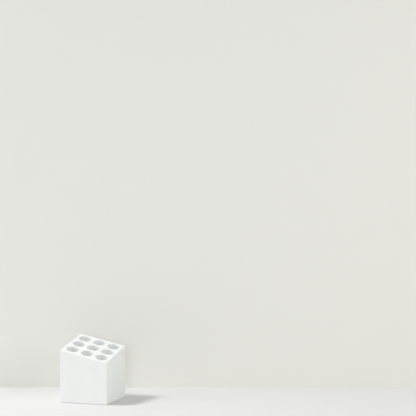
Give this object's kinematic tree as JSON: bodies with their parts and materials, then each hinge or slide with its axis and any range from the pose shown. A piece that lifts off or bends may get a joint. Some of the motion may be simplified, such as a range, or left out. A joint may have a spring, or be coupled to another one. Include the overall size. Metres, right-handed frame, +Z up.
{
  "type": "umbrella stand",
  "caption": "Square white cast block with a grid of upright blind bores for closed umbrellas, a top plane that slopes down to the front right corner, and rubber feet.",
  "frame": {"origin": "on the floor under the middle of the block", "axes": "+Z up; -Y is the front, +X the right; the top's lowest corner is at +X -Y and its highest at -X +Y"},
  "size_m": [0.14, 0.14, 0.1773],
  "materials": {
    "casting": "matte",
    "disc_rubber": "matte",
    "foot_rubber": "matte"
  },
  "bodies": {
    "root": {"block": "casting", "disc_front_left": "disc_rubber", "disc_front_centre": "disc_rubber", "disc_front_right": "disc_rubber", "disc_middle_left": "disc_rubber", "disc_middle_centre": "disc_rubber", "disc_middle_right": "disc_rubber", "disc_back_left": "disc_rubber", "disc_back_centre": "disc_rubber", "disc_back_right": "disc_rubber", "foot_front_left": "foot_rubber", "foot_front_right": "foot_rubber", "foot_back_left": "foot_rubber", "foot_back_right": "foot_rubber"}
  },
  "joints": []
}
